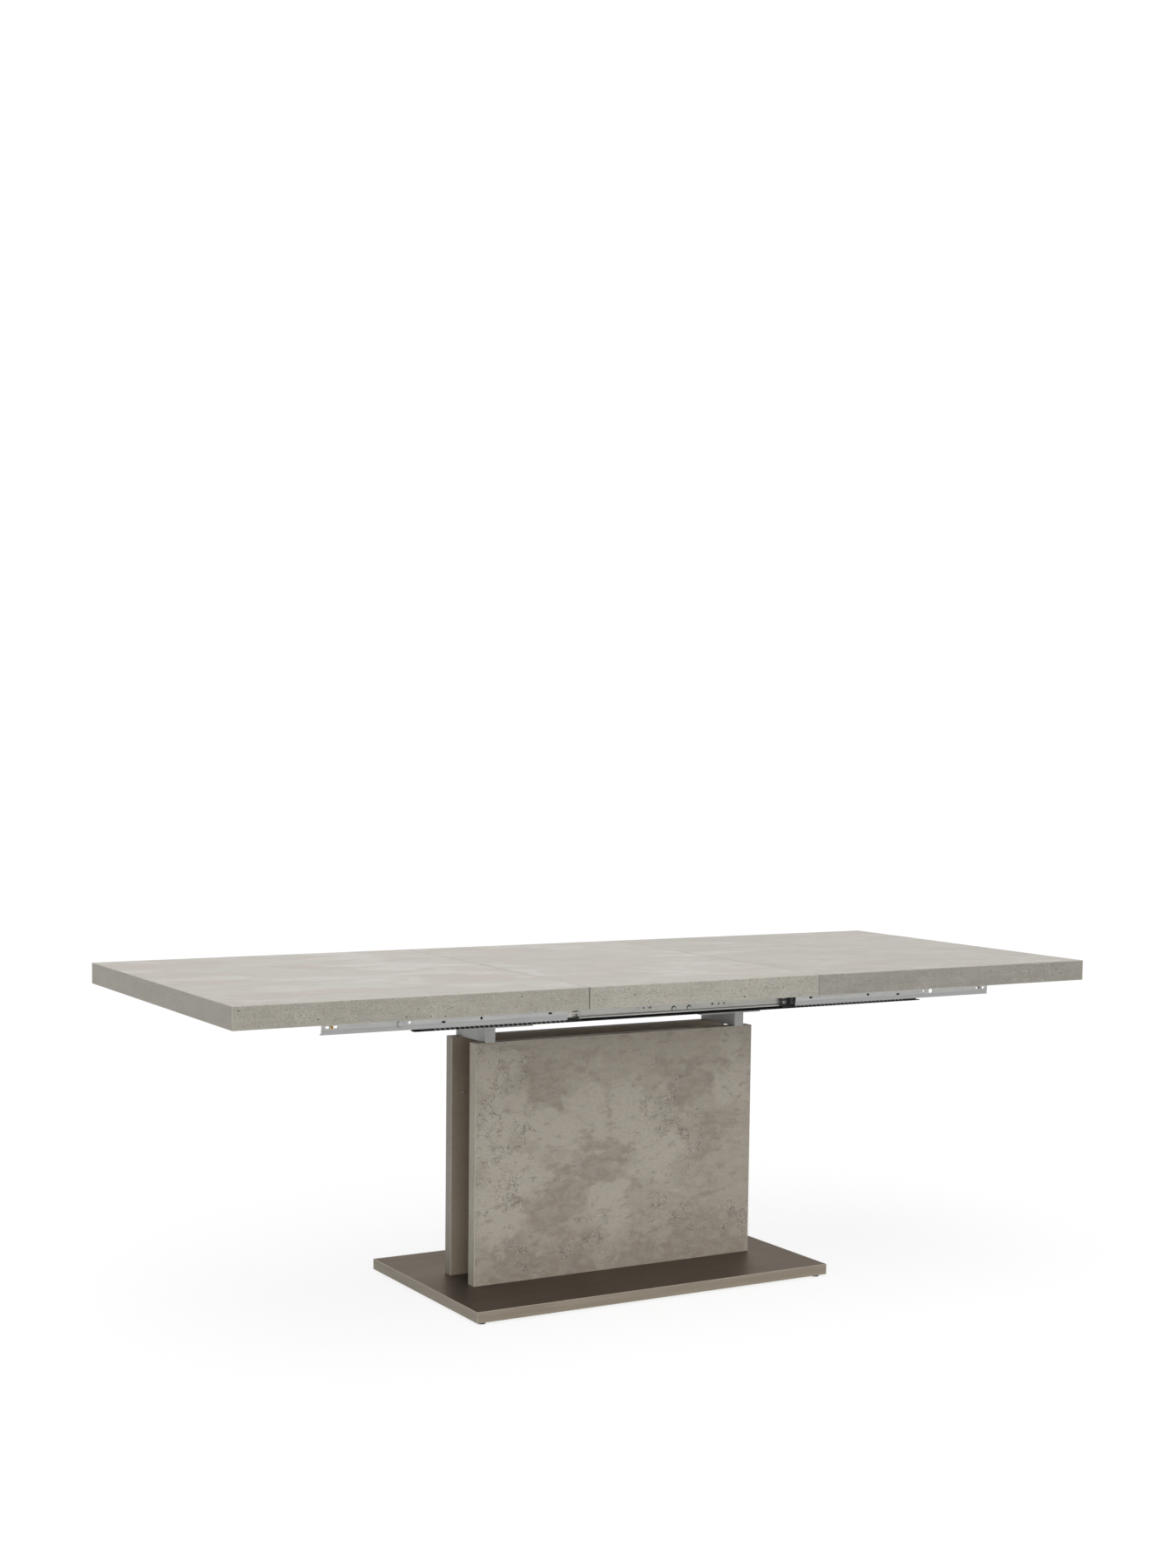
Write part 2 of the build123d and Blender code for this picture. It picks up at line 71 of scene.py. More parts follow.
def new_group(name, inputs, outputs):
    """An empty effect, with (socket, kind) inputs and named value outputs."""
    tree = bpy.data.node_groups.new(name, "ShaderNodeTree")
    for socket, kind in inputs:
        tree.interface.new_socket(socket, in_out="INPUT", socket_type="NodeSocket" + kind)
    for socket in outputs:
        tree.interface.new_socket(socket, in_out="OUTPUT", socket_type="NodeSocketFloat")
    return tree, tree.nodes.new("NodeGroupInput").outputs, tree.nodes.new("NodeGroupOutput").inputs


def new_material(name, plain):
    """A material, its node tree and its shader, with the values that are the same all over."""
    made = bpy.data.materials.new(name)
    made.use_nodes = True
    shader = made.node_tree.nodes["Principled BSDF"]
    for socket, value in plain.items():
        shader.inputs[socket].default_value = value
    return made, made.node_tree, shader


def place_on(tree, offset=(0, 0, 0), turn=(0, 0, 0)):
    """Where a point is on the piece, in metres, moved and turned to another stretch of the pattern."""
    spot = add(tree, "TexCoord", {}).outputs["Object"]
    moved = add(tree, "Mapping", {"Vector": spot, "Location": offset, "Rotation": turn})
    return moved.outputs["Vector"]


def finish_with(tree, shader, colour, roughness, height=None, relief=0.0):
    """Join colour, roughness and a height in metres of relief to the shader."""
    tree.links.new(colour, shader.inputs["Base Color"])
    tree.links.new(roughness, shader.inputs["Roughness"])
    if height is not None:
        bump = add(tree, "Bump", {"Strength": 1.0, "Distance": relief, "Height": height})
        tree.links.new(bump.outputs["Normal"], shader.inputs["Normal"])


def dress(finish, *names):
    """Give a finish to the named nodes."""
    for name in names:
        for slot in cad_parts[name].material_slots:
            slot.material = finish


clouds, given, result = new_group(
    "clouds",
    [("Vector", "Vector"), ("Size", "Vector"), ("Low", "Float"), ("High", "Float"), ("Rough", "Float")],
    ["Mask"])
scaled = add(clouds, "VectorMath", {0: given["Vector"], 1: given["Size"]}, operation="DIVIDE").outputs[0]
cloud_noise = add(
    clouds, "TexNoise",
    {"Vector": scaled, "Scale": 1.0, "Detail": 6.0, "Roughness": given["Rough"], "Distortion": 0.3})
clouds.links.new(ramp(clouds, cloud_noise.outputs["Fac"], given["Low"], given["High"]), result["Mask"])


def cloud(tree, place, size, low=0.38, high=0.62, rough=0.55):
    """Patches of the given size along each axis, in metres, with a soft or a rough outline."""
    inputs = {"Vector": place, "Size": size, "Low": low, "High": high, "Rough": rough}
    return add(tree, "Group", inputs, node_tree=clouds).outputs["Mask"]


bronze_deep = (0.132, 0.113, 0.096)
bronze_drift = (0.150, 0.129, 0.110)
bronze_fleck = (0.185, 0.160, 0.136)
bronze_sheen = (0.74, 0.68, 0.61, 1.0)
bronze_roughness = (0.42, 0.47)
bronze_relief = 0.00001
bronze_laminate, tree, shader = new_material(
    "bronze_laminate", {"Metallic": 0.85, "Specular IOR Level": 0.3, "Specular Tint": bronze_sheen})
place = place_on(tree)
drift = cloud(tree, place, (0.5, 0.25, 0.25))
fleck = cloud(tree, place, (0.0016, 0.0016, 0.0016), low=0.50, high=0.75)
wiped = cloud(tree, place, (0.20, 0.06, 0.06), low=0.35, high=0.65)
tone = mix(tree, drift, bronze_deep, bronze_drift)
tone = mix(tree, part_of(tree, fleck, 0.4), tone, bronze_fleck)
finish_with(tree, shader, tone, span(tree, wiped, *bronze_roughness), fleck, bronze_relief)
dress(bronze_laminate, "base_plate")


# Edge bands of the base plate: thin strips of a lighter bronze, glued on and trimmed flush. Fine lines
# run along them, and their rounded edges and corners are rubbed bright.

def axes_of(tree, vector):
    """The X, Y and Z of a place or of a distance."""
    return add(tree, "SeparateXYZ", {"Vector": vector}).outputs


worn_edges, given, result = new_group(
    "worn_edges",
    [("Vector", "Vector"), ("Low", "Vector"), ("High", "Vector"), ("Width", "Float")],
    ["Mask"])
to_low = add(worn_edges, "VectorMath", {0: given["Vector"], 1: given["Low"]}, operation="SUBTRACT")
to_high = add(worn_edges, "VectorMath", {0: given["High"], 1: given["Vector"]}, operation="SUBTRACT")
nearest = add(
    worn_edges, "VectorMath", {0: to_low.outputs[0], 1: to_high.outputs[0]}, operation="MINIMUM").outputs[0]
near = axes_of(worn_edges, nearest)
nearer_pair = calc(worn_edges, "MINIMUM", near["X"], near["Y"])
farther_pair = calc(worn_edges, "MAXIMUM", near["X"], near["Y"])
second_nearest = calc(
    worn_edges, "MAXIMUM", nearer_pair, calc(worn_edges, "MINIMUM", farther_pair, near["Z"]))
rub_noise = add(worn_edges, "TexNoise", {"Vector": given["Vector"], "Scale": 60.0, "Detail": 4.0})
rub_width = calc(
    worn_edges, "MULTIPLY", given["Width"], span(worn_edges, rub_noise.outputs["Fac"], 0.5, 1.5))
worn_edges.links.new(ramp(worn_edges, second_nearest, rub_width, 0.0), result["Mask"])


def rubbed(tree, node, width):
    """The rubbed edges and corners of a box-shaped piece, up to a width in metres."""
    low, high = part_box(node)
    inputs = {"Vector": place_on(tree), "Low": low, "High": high, "Width": width}
    return add(tree, "Group", inputs, node_tree=worn_edges).outputs["Mask"]


band_bronze = (0.245, 0.208, 0.158)
band_bronze_light = (0.285, 0.245, 0.190)
band_bronze_rubbed = (0.42, 0.37, 0.30)
band_bronze_roughness = (0.40, 0.50)
band_bronze_relief = 0.00002
band_bronze_wear = 0.0020
bronze_band, tree, shader = new_material("bronze_band", {"Metallic": 0.35, "IOR": 1.5})
place = place_on(tree)
drift = cloud(tree, place, (0.3, 0.3, 0.012))
brushed = cloud(tree, place, (0.06, 0.06, 0.0009))
tone = mix(tree, drift, band_bronze, band_bronze_light)
tone = mix(tree, part_of(tree, brushed, 0.3), tone, band_bronze_light)
tone = mix(tree, rubbed(tree, "base_plate_bands", band_bronze_wear), tone, band_bronze_rubbed)
finish_with(tree, shader, tone, span(tree, brushed, *band_bronze_roughness), brushed, band_bronze_relief)
dress(bronze_band, "base_plate_bands")


# Glides: moulded feet of black plastic, each pressed into the base plate by its pin.
# The skin is finely grained and a little scuffed.

plastic_black = (0.014, 0.014, 0.014)
plastic_scuffed = (0.040, 0.039, 0.038)
plastic_roughness = (0.38, 0.52)
plastic_relief = 0.00004


def moulded_black(tree, place):
    """Tone and grain of black moulded plastic."""
    grained = cloud(tree, place, (0.0007, 0.0007, 0.0007))
    scuffed = cloud(tree, place, (0.02, 0.01, 0.004), low=0.52, high=0.70)
    return mix(tree, scuffed, plastic_black, plastic_scuffed), grained


black_plastic, tree, shader = new_material("black_plastic", {"IOR": 1.5})
tone, grained = moulded_black(tree, place_on(tree))
finish_with(tree, shader, tone, span(tree, grained, *plastic_roughness), grained, plastic_relief)
dress(black_plastic, "foot_glides")


# Angle brackets and all plain screws: steel sheet and wire, zinc plated to an even light grey.
# The rolled sheet keeps long faint lines, and the plating is a little cloudy.

zinc_dull = (0.455, 0.458, 0.447)
zinc_bright = (0.545, 0.548, 0.535)
zinc_roughness = (0.50, 0.42)
rolled_relief = 0.00001
sheet_lines = (0.30, 0.0030, 0.0030)
turned_lines = (0.002, 0.002, 0.0008)


def zinc_tone(tree, place, rolling, dull=zinc_dull, bright=zinc_bright):
    """Tone of zinc plate, with rolling lines of the given size along each axis, and those lines."""
    cloudy = cloud(tree, place, (0.05, 0.05, 0.02), low=0.35, high=0.65)
    rolled = cloud(tree, place, rolling, low=0.3, high=0.7)
    even = part_of(tree, calc(tree, "ADD", cloudy, rolled), 0.5)
    return mix(tree, even, dull, bright), rolled


def zinc_finish(name, rolling):
    """Plain zinc plate, with rolling lines of the given size along each axis."""
    made, tree, shader = new_material(name, {"Metallic": 0.85})
    tone, rolled = zinc_tone(tree, place_on(tree), rolling)
    finish_with(tree, shader, tone, span(tree, rolled, *zinc_roughness), rolled, rolled_relief)
    return made


zinc_steel = zinc_finish("zinc_steel", sheet_lines)
zinc_turned = zinc_finish("zinc_turned", turned_lines)
dress(zinc_steel, "column_brackets")
dress(zinc_turned, "bracket_screws", "panel_fittings", "panel_inserts")


# Column panels: two boards faced with a concrete-look laminate in warm grey, stained in brown and pale
# patches with ragged outlines. Where the print is worn it is embossed with short cracks and flecks.

pits, given, result = new_group(
    "pits", [("Vector", "Vector"), ("Spacing", "Float"), ("Radius", "Float"), ("Share", "Float")], ["Mask"])
cell_scale = calc(pits, "DIVIDE", 1.0, given["Spacing"])
wobble_scale = calc(pits, "DIVIDE", 0.7, given["Radius"])
wobble = add(pits, "TexNoise", {"Vector": given["Vector"], "Scale": wobble_scale})
wobble = add(pits, "VectorMath", {0: wobble.outputs["Color"], 1: (0.5, 0.5, 0.5)}, operation="SUBTRACT")
wobble = add(pits, "VectorMath", {0: wobble.outputs[0], 3: given["Radius"]}, operation="SCALE")
wobbled = add(pits, "VectorMath", {0: given["Vector"], 1: wobble.outputs[0]}, operation="ADD").outputs[0]
cells = add(pits, "TexVoronoi", {"Vector": wobbled, "Scale": cell_scale})
chance = add(pits, "SeparateColor", {"Color": cells.outputs["Color"]}).outputs
distance = calc(pits, "MULTIPLY", cells.outputs["Distance"], given["Spacing"])
radius = calc(pits, "MULTIPLY", given["Radius"], span(pits, chance["Green"], 0.4, 1.0))
dented = ramp(pits, distance, radius, calc(pits, "MULTIPLY", radius, 0.5))
chosen = calc(pits, "LESS_THAN", chance["Red"], given["Share"])
pits.links.new(calc(pits, "MULTIPLY", dented, chosen), result["Mask"])

grit, given, result = new_group(
    "grit", [("Vector", "Vector"), ("Grain", "Float"), ("Cover", "Float")], ["Cracks", "Flecks", "Height"])
grain_scale = calc(grit, "DIVIDE", 1.0, given["Grain"])
veins = add(
    grit, "TexNoise",
    {"Vector": given["Vector"], "Scale": grain_scale, "Detail": 4.0, "Roughness": 0.62, "Distortion": 0.8})
off_vein = calc(grit, "ABSOLUTE", calc(grit, "SUBTRACT", veins.outputs["Fac"], 0.5))
crumbs = add(
    grit, "TexNoise",
    {"Vector": given["Vector"], "Scale": calc(grit, "MULTIPLY", grain_scale, 4.0), "Detail": 2.0})
crumb = add(grit, "SeparateColor", {"Color": crumbs.outputs["Color"]}).outputs
groups = add(
    grit, "TexNoise",
    {"Vector": given["Vector"], "Scale": calc(grit, "MULTIPLY", grain_scale, 0.5), "Detail": 3.0})
grouped = calc(grit, "MULTIPLY", ramp(grit, groups.outputs["Fac"], 0.44, 0.57), given["Cover"])
crack = calc(
    grit, "MULTIPLY", ramp(grit, off_vein, 0.050, 0.006), ramp(grit, crumb["Red"], 0.40, 0.54))
fleck = calc(
    grit, "MULTIPLY", ramp(grit, off_vein, 0.120, 0.040), ramp(grit, crumb["Green"], 0.54, 0.62))
grit.links.new(calc(grit, "MULTIPLY", crack, grouped), result["Cracks"])
grit.links.new(calc(grit, "MULTIPLY", fleck, grouped), result["Flecks"])
grit.links.new(calc(grit, "MULTIPLY", calc(grit, "SUBTRACT", fleck, crack), grouped), result["Height"])


def pitted(tree, place, spacing, radius, share):
    """Scattered pits up to a radius, in a share of the cells of the given spacing, in metres."""
    inputs = {"Vector": place, "Spacing": spacing, "Radius": radius, "Share": share}
    return add(tree, "Group", inputs, node_tree=pits).outputs["Mask"]


def gritty(tree, place, grain, cover):
    """Cracks, flecks and their relief, as far apart as the grain, where the cover mask is set."""
    return add(tree, "Group", {"Vector": place, "Grain": grain, "Cover": cover}, node_tree=grit).outputs


def away_from(tree, place, x, z):
    """How far a place is, seen from the front, from a spot at x and z, in metres."""
    flat = add(tree, "VectorMath", {0: place, 1: (1, 0, 1)}, operation="MULTIPLY").outputs[0]
    return add(tree, "VectorMath", {0: flat, 1: (x, 0, z)}, operation="DISTANCE").outputs["Value"]


spot_pull = 0.28
stain_from = 0.58
stain_full = 0.72


def stained(tree, place, ragged, spots):
    """A mask in the ragged shapes of a noise, gathered at spots given by x, z and reach in metres."""
    mask = 0.0
    for x, z, reach in spots:
        mask = calc(tree, "MAXIMUM", mask, ramp(tree, away_from(tree, place, x, z), reach, 0.0))
    return ramp(tree, calc(tree, "ADD", part_of(tree, mask, spot_pull), ragged), stain_from, stain_full)


def tint(tree, mask, colour, hue):
    """A colour, turned towards a hue where the mask is set."""
    inputs = {0: mask, 6: colour, 7: (*hue, 1.0)}
    return add(tree, "Mix", inputs, data_type="RGBA", blend_type="MULTIPLY").outputs[2]


rosy_hue = (1.06, 0.99, 0.93)
column_grey = (0.392, 0.359, 0.304)
column_brown = (0.278, 0.240, 0.199)
column_pale = (0.500, 0.468, 0.408)
column_crack = (0.150, 0.124, 0.102)
column_fleck = (0.72, 0.69, 0.63)
column_backing_shade = (0.325, 0.262, 0.200)
column_roughness = (0.46, 0.58)
column_relief = 0.0004
stain_stretch = (1, 1, 1.5)
stains_per_metre = 10.0
brown_spots = (
    (-0.21, 0.48, 0.17), (0.19, 0.48, 0.17), (-0.06, 0.30, 0.18), (-0.18, 0.22, 0.17), (0.25, 0.34, 0.12),
    (-0.28, 0.06, 0.14), (0.24, 0.12, 0.16), (-0.13, 0.04, 0.17), (0.08, 0.04, 0.17), (0.32, 0.05, 0.17))
pale_spots = (
    (-0.08, 0.40, 0.15), (-0.32, 0.38, 0.19), (-0.25, 0.29, 0.15), (-0.03, 0.19, 0.12), (0.12, 0.30, 0.14),
    (0.33, 0.46, 0.12), (-0.33, 0.20, 0.15), (-0.33, 0.52, 0.13), (0.05, 0.40, 0.17), (-0.17, 0.38, 0.15))
worn_spots = (
    (-0.33, 0.54, 0.16), (-0.34, 0.44, 0.15), (-0.30, 0.36, 0.14), (-0.33, 0.24, 0.13), (0.17, 0.36, 0.20),
    (-0.09, 0.12, 0.13), (-0.22, 0.06, 0.12), (0.14, 0.15, 0.12), (0.33, 0.12, 0.12))


def column_finish(node, offset, turn):
    """The panel laminate, another stretch of the print for each panel, with a brown backing that is also
    painted shade.
    """
    made, tree, shader = new_material(node + "_laminate", {"IOR": 1.5, "Specular IOR Level": 0.35})
    place = place_on(tree, offset, turn)
    drawn = add(tree, "VectorMath", {0: place, 1: stain_stretch}, operation="MULTIPLY").outputs[0]
    noise = add(
        tree, "TexNoise",
        {"Vector": drawn, "Scale": stains_per_metre, "Detail": 8.0, "Roughness": 0.66})
    ragged = add(tree, "SeparateColor", {"Color": noise.outputs["Color"]}).outputs
    brown = stained(tree, place, ragged["Red"], brown_spots)
    pale = stained(tree, place, ragged["Green"], pale_spots)
    cover = stained(tree, place, ragged["Blue"], worn_spots)
    blotch = cloud(tree, place, (0.034, 0.034, 0.018), low=0.38, high=0.62, rough=0.68)
    far_place = place_on(tree, (offset[0] + 3, offset[1], offset[2] + 2), turn)
    smudge = cloud(tree, far_place, (0.040, 0.040, 0.020), low=0.53, high=0.66, rough=0.66)
    flush = cloud(tree, far_place, (0.020, 0.020, 0.012), low=0.42, high=0.58, rough=0.6)
    fine = cloud(tree, place, (0.005, 0.005, 0.004), low=0.34, high=0.66, rough=0.7)
    marks = gritty(tree, place, grain=0.016, cover=span(tree, cover, 0.12, 1.0))
    dents = pitted(tree, place, spacing=0.026, radius=0.0018, share=0.5)
    tone = mix(tree, part_of(tree, brown, 0.70), column_grey, column_brown)
    tone = mix(tree, part_of(tree, pale, 0.85), tone, column_pale)
    tone = mix(tree, part_of(tree, blotch, 0.36), tone, column_pale)
    tone = mix(tree, part_of(tree, smudge, 0.62), tone, column_brown)
    tone = tint(tree, part_of(tree, flush, 0.6), tone, rosy_hue)
    tone = mix(tree, part_of(tree, fine, 0.30), tone, column_brown)
    tone = mix(tree, part_of(tree, marks["Flecks"], 0.55), tone, column_fleck)
    dark = calc(tree, "MAXIMUM", part_of(tree, marks["Cracks"], 0.65), part_of(tree, dents, 0.7))
    tone = mix(tree, dark, tone, column_crack)
    # Inner faces: a darker brown backing sheet, partly real and partly painted shade of the gap between the
    # panels.
    low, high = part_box(node)
    depth = calc(tree, "ABSOLUTE", axes_of(tree, place_on(tree))["Y"])
    outer = max(abs(low.y), abs(high.y))
    inner = min(abs(low.y), abs(high.y))
    backing_and_shade = ramp(tree, depth, (inner + outer) / 2, inner)
    tone = mix(tree, part_of(tree, backing_and_shade, 0.75), tone, column_backing_shade)
    height = calc(tree, "SUBTRACT", marks["Height"], dents)
    finish_with(tree, shader, tone, span(tree, fine, *column_roughness), height, column_relief)
    dress(made, node)


column_finish("front_column_panel", offset=(0.0, 0.0, 0.0), turn=(0.0, 0.0, 0.0))
column_finish("rear_column_panel", offset=(0.0, 0.0, 0.62), turn=(0.0, pi, 0.0))


# Edge bands of the panels: strips in the same warm grey print, glued on and rounded. They are paler
# along their rounded corners, partly from wear and partly as a painted highlight, have a few pits, and
# are painted dark on top as painted shade.

band_wear_and_highlight = (0.56, 0.520, 0.440)
band_top_shade = (0.170, 0.135, 0.100)
lid_depth = 0.0012
panel_band_roughness = (0.42, 0.52)
panel_band_relief = 0.00005
panel_band_wear = 0.0025


def panel_band(node, offset, tone_dark, tone_light):
    """The print of the bands in two tones, from another stretch of the roll for each panel."""
    made, tree, shader = new_material(node + "_print", {"IOR": 1.5, "Specular IOR Level": 0.4})
    place = place_on(tree, offset)
    patch = cloud(tree, place, (0.1, 0.1, 0.12))
    fine = cloud(tree, place, (0.006, 0.006, 0.012), low=0.30, high=0.70, rough=0.7)
    tone = mix(tree, patch, tone_dark, tone_light)
    tone = mix(tree, part_of(tree, fine, 0.2), tone, column_brown)
    dents = pitted(tree, place, spacing=0.02, radius=0.0014, share=0.4)
    tone = mix(tree, part_of(tree, dents, 0.6), tone, column_crack)
    # Paler rounded corners: partly wear, partly a painted highlight along them.
    tone = mix(tree, part_of(tree, rubbed(tree, node, panel_band_wear), 0.5), tone, band_wear_and_highlight)
    # The tops of the bands are painted dark: painted shade under the crossbars and the top.
    level = axes_of(tree, place_on(tree))["Z"]
    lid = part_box(node)[1].z
    tone = mix(tree, ramp(tree, level, lid - lid_depth, lid), tone, band_top_shade)
    finish_with(tree, shader, tone, span(tree, fine, *panel_band_roughness), fine, panel_band_relief)
    dress(made, node)


panel_band(
    "front_panel_bands", offset=(0.4, 0.0, 0.2),
    tone_dark=(0.440, 0.400, 0.322), tone_light=(0.500, 0.460, 0.377))
panel_band(
    "rear_panel_bands", offset=(0.9, 0.0, 0.6),
    tone_dark=(0.340, 0.310, 0.255), tone_light=(0.388, 0.357, 0.298))


# Spacers between the panels: raw chipboard, pressed from pale and dark wood chips and sawn to size.
# They stand in the gap and keep the panels apart.

chip_pale = (0.52, 0.41, 0.27)
chip_dark = (0.30, 0.21, 0.12)
chip_roughness = (0.75, 0.9)
chip_relief = 0.0004
chips_per_metre = 240.0
raw_board, tree, shader = new_material("raw_board", {"Specular IOR Level": 0.2})
place = place_on(tree)
chips = add(tree, "TexVoronoi", {"Vector": place, "Scale": chips_per_metre})
chip = add(tree, "SeparateColor", {"Color": chips.outputs["Color"]}).outputs["Red"]
tone = mix(tree, chip, chip_pale, chip_dark)
finish_with(tree, shader, tone, span(tree, chip, *chip_roughness), chips.outputs["Distance"], chip_relief)
dress(raw_board, "column_spacers")


# Crossbars, carrier plates, risers and struts: steel tube and plate, welded and powder coated in a
# satin grey. The coat has a fine orange peel and is thinner and paler along the edges.

paint_grey = (0.46, 0.46, 0.45)
paint_grey_light = (0.52, 0.52, 0.51)
paint_edge = (0.62, 0.62, 0.61)
paint_roughness = (0.40, 0.50)
paint_relief = 0.00005
paint_wear = 0.0016


def painted(node):
    """A coat for one piece, worn along the edges of that piece."""
    made, tree, shader = new_material(node + "_paint", {"IOR": 1.5})
    place = place_on(tree)
    drift = cloud(tree, place, (0.08, 0.08, 0.05))
    peel = cloud(tree, place, (0.0016, 0.0016, 0.0016), low=0.3, high=0.7)
    tone = mix(tree, drift, paint_grey, paint_grey_light)
    tone = mix(tree, part_of(tree, rubbed(tree, node, paint_wear), 0.5), tone, paint_edge)
    finish_with(tree, shader, tone, span(tree, peel, *paint_roughness), peel, paint_relief)
    dress(made, node)


for node in ("crossbar", "carrier_plate", "riser", "cross_strut"):
    for side in ("left", "right"):
        painted(side + "_" + node)
for node in ("crossbar_caps", "centre_strut", "strut_end_plates"):
    painted(node)
dress(zinc_turned, "carrier_bolts")


# Fixed rails: rolled steel channels, zinc plated, screwed to the ends of the struts and open outwards.
# The lower lip is painted black, partly for old grease and partly as painted shade, with lighter spots
# along the ball row as painted glints of the balls. The bead over it is painted light as a painted
# highlight, the crease over the bead carries a painted shade line, each screw a painted shadow crescent
# round its head, and each spare hole a dark ring.

rail_dull = (0.420, 0.412, 0.380)
rail_bright = (0.500, 0.490, 0.455)
# Light tone of the bead: a painted highlight.
bead_highlight = (0.78, 0.78, 0.75)
rail_roughness = (0.50, 0.44)
grease_and_shade_black = (0.012, 0.012, 0.012)
lip_height = 0.0040
bead_height = 0.0045
crease_height = 0.0020
rail_blur = 0.0006
# Width and rise of the painted shadow round the screw heads.
screw_shade_width = 0.0022
screw_shade_rise = 0.0010
screw_pitch = 0.041
ball_pitch = 0.0115
ball_radius = 0.00155
spare_places = (0.0815, 0.0845, 0.0995, 0.115)
spare_drop = 0.0174
spare_ring_radius = 0.0026
rail_low, rail_high = (corner.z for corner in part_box("front_fixed_rail"))
screw_low, screw_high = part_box("rail_screws")
screw_middle = (screw_low.z + screw_high.z) / 2
screw_radius = (screw_high.z - screw_low.z) / 2
strut_low, strut_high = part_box("right_cross_strut")
strut_middle = (strut_low.x + strut_high.x) / 2
ball_low, ball_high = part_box("right_balls")
first_ball = ball_low.x + ball_radius
fixed_rail, tree, shader = new_material("fixed_rail_zinc", {"Metallic": 0.85})
place = place_on(tree)
tone, rolled = zinc_tone(tree, place, sheet_lines, rail_dull, rail_bright)
spot = axes_of(tree, place)
outward = calc(tree, "ABSOLUTE", spot["X"])
from_side_strut = calc(tree, "ABSOLUTE", calc(tree, "SUBTRACT", outward, strut_middle))
from_strut = calc(tree, "MINIMUM", outward, from_side_strut)
beside_strut = add(tree, "CombineXYZ", {"X": from_strut, "Z": spot["Z"]}).outputs[0]
# A dark crescent round each screw head, its centre raised: a painted shadow in the gap round the head.
from_screw = away_from(tree, beside_strut, screw_pitch / 2, screw_middle + screw_shade_rise)
screw_shade_and_rings = ramp(tree, from_screw, screw_radius + screw_shade_width, screw_radius + screw_shade_width / 2)
bead_low = rail_low + lip_height
crease_low = bead_low + bead_height
crease_high = crease_low + crease_height
folded = add(tree, "CombineXYZ", {"X": outward, "Z": spot["Z"]}).outputs[0]
# A dark ring is painted round each spare hole.
for spare_place in spare_places:
    from_hole = away_from(tree, folded, spare_place, rail_high - spare_drop)
    screw_shade_and_rings = calc(tree, "MAXIMUM", screw_shade_and_rings, ramp(tree, from_hole, spare_ring_radius, spare_ring_radius * 0.7))
# Lighter spots along the ball row, spaced as the balls: painted glints of the balls on the black lip.
past_first = calc(tree, "SUBTRACT", outward, first_ball)
from_ball = calc(tree, "PINGPONG", past_first, ball_pitch / 2)
in_row = calc(
    tree, "MULTIPLY", ramp(tree, outward, ball_low.x - ball_radius, ball_low.x),
    ramp(tree, outward, ball_high.x + ball_radius, ball_high.x))
ball_glint_spots = calc(tree, "MULTIPLY", ramp(tree, from_ball, ball_radius, ball_radius / 3), in_row)
# The lower lip is painted black: partly old grease, partly painted shade of the lip.
lip = ramp(tree, spot["Z"], bead_low + rail_blur, bead_low)
lip_grease_and_shade = calc(tree, "MULTIPLY", lip, span(tree, ball_glint_spots, 1.0, 0.4))
over_bead = ramp(tree, spot["Z"], crease_low, crease_low + rail_blur)
# A dark line in the crease over the bead: painted shade.
crease_shade = calc(tree, "MULTIPLY", over_bead, ramp(tree, spot["Z"], crease_high, crease_high - rail_blur))
# Painted shade of the crease and the painted shadow crescents of the screws, with the dark rings round the
# spare holes.
gathered = calc(tree, "MAXIMUM", part_of(tree, crease_shade, 0.7), part_of(tree, screw_shade_and_rings, 0.9))
# Everything below the crease takes the light tone: a painted highlight on the bead.
tone = mix(tree, over_bead, bead_highlight, tone)
# Lip, crease, screw crescents and spare-hole rings all go to black here: grease and painted shade together.
tone = mix(tree, calc(tree, "MAXIMUM", lip_grease_and_shade, gathered), tone, grease_and_shade_black)
finish_with(tree, shader, tone, span(tree, rolled, *rail_roughness), rolled, rolled_relief)
dress(fixed_rail, "front_fixed_rail", "rear_fixed_rail")
dress(zinc_steel, "rail_stops")
dress(zinc_turned, "rail_screws")


# Runners: bent steel channels, zinc plated, screwed up into the two halves of the top. Below the
# rolled crease the web is set back and painted darker, as painted shade. A painted shade line
# rings the pressed disc of the left ones.

crease_drop = 0.0228
crease_blur = 0.0008
runner_lower_shade = (0.390, 0.394, 0.390)
disc_shade_line = (0.120, 0.118, 0.112)
disc_place = 0.699
disc_drop = 0.0195
disc_radius = 0.0075
disc_shade_width = 0.0014
runner_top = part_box("left_front_runner")[1].z
runner_zinc, tree, shader = new_material("runner_zinc", {"Metallic": 0.85})
place = place_on(tree)
tone, rolled = zinc_tone(tree, place, sheet_lines)
level = axes_of(tree, place)["Z"]
# The web below the crease is painted darker: painted shade of the set-back lower web.
below = ramp(tree, level, runner_top - crease_drop + crease_blur, runner_top - crease_drop)
# A dark line round the pressed disc: painted shade of its rim.
from_disc = away_from(tree, place, -disc_place, runner_top - disc_drop)
past_disc = ramp(tree, from_disc, disc_radius - disc_shade_width / 2, disc_radius)
disc_shade_ring = calc(tree, "MULTIPLY", past_disc, ramp(tree, from_disc, disc_radius + disc_shade_width, disc_radius))
tone = mix(tree, part_of(tree, below, 0.8), tone, runner_lower_shade)
tone = mix(tree, part_of(tree, disc_shade_ring, 0.7), tone, disc_shade_line)
finish_with(tree, shader, tone, span(tree, rolled, *zinc_roughness), rolled, rolled_relief)
for side in ("left", "right"):
    dress(runner_zinc, side + "_front_runner", side + "_rear_runner")
    dress(zinc_steel, side + "_cage_stop_nuts")
    dress(zinc_turned, side + "_runner_screws")


